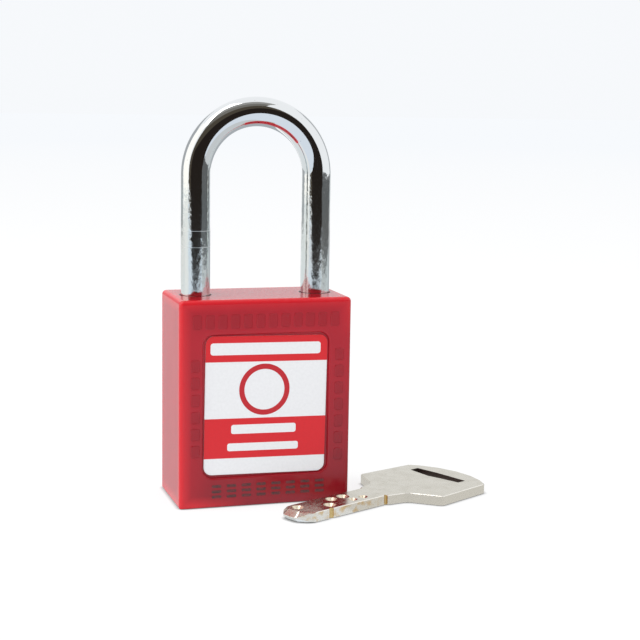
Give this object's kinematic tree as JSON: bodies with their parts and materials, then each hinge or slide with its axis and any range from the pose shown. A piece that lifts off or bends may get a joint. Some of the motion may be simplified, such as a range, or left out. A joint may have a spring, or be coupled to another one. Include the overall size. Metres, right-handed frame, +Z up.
{
  "type": "safety padlock",
  "caption": "Key-retaining lockout padlock: moulded case with label recesses, round-bar shackle held by two balls, dimple-pin cylinder, and its key lying beside it.",
  "frame": {"origin": "middle of the case's underside, on the lock cylinder's axis, in the plane the lock stands on", "axes": "+Z up towards the shackle, -Y the labelled front, +X towards the shackle's toe leg"},
  "size_m": [0.0695, 0.0368, 0.0876],
  "materials": {
    "case_nylon": "moulded red nylon, satin gloss",
    "chassis_nylon": "glass filled nylon",
    "label_print": "gloss laminated print",
    "blank_label": "write-on laminate",
    "shackle_steel": "bright plated steel",
    "spring_steel": "drawn wire",
    "ball_steel": "polished",
    "pin_steel": "ground",
    "cam_steel": "sintered",
    "cylinder_brass": "machined",
    "plug_brass": "machined",
    "pin_brass": "turned",
    "screw_steel": "zinc plated",
    "key_nickel": "nickel plated brass, lightly worn"
  },
  "bodies": {
    "case": {"body_shell": "case_nylon", "base_plate": "case_nylon", "front_label": "label_print", "rear_label": "blank_label", "inner_frame_front": "chassis_nylon", "inner_frame_rear": "chassis_nylon", "frame_dowel_pins": "pin_steel", "shackle_spring": "spring_steel", "cylinder_housing": "cylinder_brass", "pin_cover_strip": "cylinder_brass", "cylinder_retaining_screw": "screw_steel", "pin_spring_1": "spring_steel", "pin_spring_2": "spring_steel", "pin_spring_3": "spring_steel", "pin_spring_4": "spring_steel", "pin_spring_5": "spring_steel", "pin_spring_6": "spring_steel"},
    "shackle_body": {"shackle": "shackle_steel"},
    "toe_ball": {"locking_ball_toe": "ball_steel"},
    "heel_ball": {"locking_ball_heel": "ball_steel"},
    "plug_body": {"cylinder_plug": "plug_brass", "cam": "cam_steel", "plug_retaining_clip": "spring_steel"},
    "loose_key": {"key": "key_nickel"},
    "key_pin_body_1": {"key_pin_1": "pin_brass"},
    "driver_pin_body_1": {"driver_pin_1": "pin_steel"},
    "key_pin_body_2": {"key_pin_2": "pin_brass"},
    "driver_pin_body_2": {"driver_pin_2": "pin_steel"},
    "key_pin_body_3": {"key_pin_3": "pin_brass"},
    "driver_pin_body_3": {"driver_pin_3": "pin_steel"},
    "key_pin_body_4": {"key_pin_4": "pin_brass"},
    "driver_pin_body_4": {"driver_pin_4": "pin_steel"},
    "key_pin_body_5": {"key_pin_5": "pin_brass"},
    "driver_pin_body_5": {"driver_pin_5": "pin_steel"},
    "key_pin_body_6": {"key_pin_6": "pin_brass"},
    "driver_pin_body_6": {"driver_pin_6": "pin_steel"}
  },
  "joints": [
    {"name": "shackle_lift", "type": "slide", "parent": "case", "child": "shackle_body", "axis": [0, 0, 1], "range_m": [0, 0.011], "deforming": ["shackle_spring"]},
    {"name": "plug_turn", "type": "hinge", "parent": "case", "child": "plug_body", "pos_m": [0, 0, 0], "axis": [0, 0, 1], "range_deg": [0, 90]},
    {"name": "toe_ball_slide", "type": "slide", "parent": "case", "child": "toe_ball", "axis": [1, 0, 0], "range_m": [0, 0.00125]},
    {"name": "heel_ball_slide", "type": "slide", "parent": "case", "child": "heel_ball", "axis": [-1, 0, 0], "range_m": [0, 0.0008]},
    {"name": "key_pick_up", "type": "slide", "parent": "case", "child": "loose_key", "axis": [0, 0, 1], "range_m": [0, 0.06]},
    {"name": "key_pin_1_drop", "type": "slide", "parent": "plug_body", "child": "key_pin_body_1", "axis": [0, 1, 0], "range_m": [0, 0.0008]},
    {"name": "driver_pin_1_travel", "type": "slide", "parent": "case", "child": "driver_pin_body_1", "axis": [1, 0, 0], "range_m": [0, 0.0009], "stiffness_N_per_m": 50, "springref_m": -0.002, "deforming": ["pin_spring_1"]},
    {"name": "key_pin_2_drop", "type": "slide", "parent": "plug_body", "child": "key_pin_body_2", "axis": [0, 1, 0], "range_m": [0, 0.0008]},
    {"name": "driver_pin_2_travel", "type": "slide", "parent": "case", "child": "driver_pin_body_2", "axis": [1, 0, 0], "range_m": [0, 0.0009], "stiffness_N_per_m": 50, "springref_m": -0.002, "deforming": ["pin_spring_2"]},
    {"name": "key_pin_3_drop", "type": "slide", "parent": "plug_body", "child": "key_pin_body_3", "axis": [0, 1, 0], "range_m": [0, 0.0008]},
    {"name": "driver_pin_3_travel", "type": "slide", "parent": "case", "child": "driver_pin_body_3", "axis": [1, 0, 0], "range_m": [0, 0.0009], "stiffness_N_per_m": 50, "springref_m": -0.002, "deforming": ["pin_spring_3"]},
    {"name": "key_pin_4_drop", "type": "slide", "parent": "plug_body", "child": "key_pin_body_4", "axis": [0, 1, 0], "range_m": [0, 0.0008]},
    {"name": "driver_pin_4_travel", "type": "slide", "parent": "case", "child": "driver_pin_body_4", "axis": [1, 0, 0], "range_m": [0, 0.0009], "stiffness_N_per_m": 50, "springref_m": -0.002, "deforming": ["pin_spring_4"]},
    {"name": "key_pin_5_drop", "type": "slide", "parent": "plug_body", "child": "key_pin_body_5", "axis": [0, 1, 0], "range_m": [0, 0.0008]},
    {"name": "driver_pin_5_travel", "type": "slide", "parent": "case", "child": "driver_pin_body_5", "axis": [1, 0, 0], "range_m": [0, 0.0009], "stiffness_N_per_m": 50, "springref_m": -0.002, "deforming": ["pin_spring_5"]},
    {"name": "key_pin_6_drop", "type": "slide", "parent": "plug_body", "child": "key_pin_body_6", "axis": [0, 1, 0], "range_m": [0, 0.0008]},
    {"name": "driver_pin_6_travel", "type": "slide", "parent": "case", "child": "driver_pin_body_6", "axis": [1, 0, 0], "range_m": [0, 0.0009], "stiffness_N_per_m": 50, "springref_m": -0.002, "deforming": ["pin_spring_6"]}
  ],
  "couplings": [
    {"joint": "toe_ball_slide", "follows": "plug_turn", "m_per_rad": 0.00079577},
    {"joint": "heel_ball_slide", "follows": "plug_turn", "m_per_rad": 0.0005093}
  ]
}
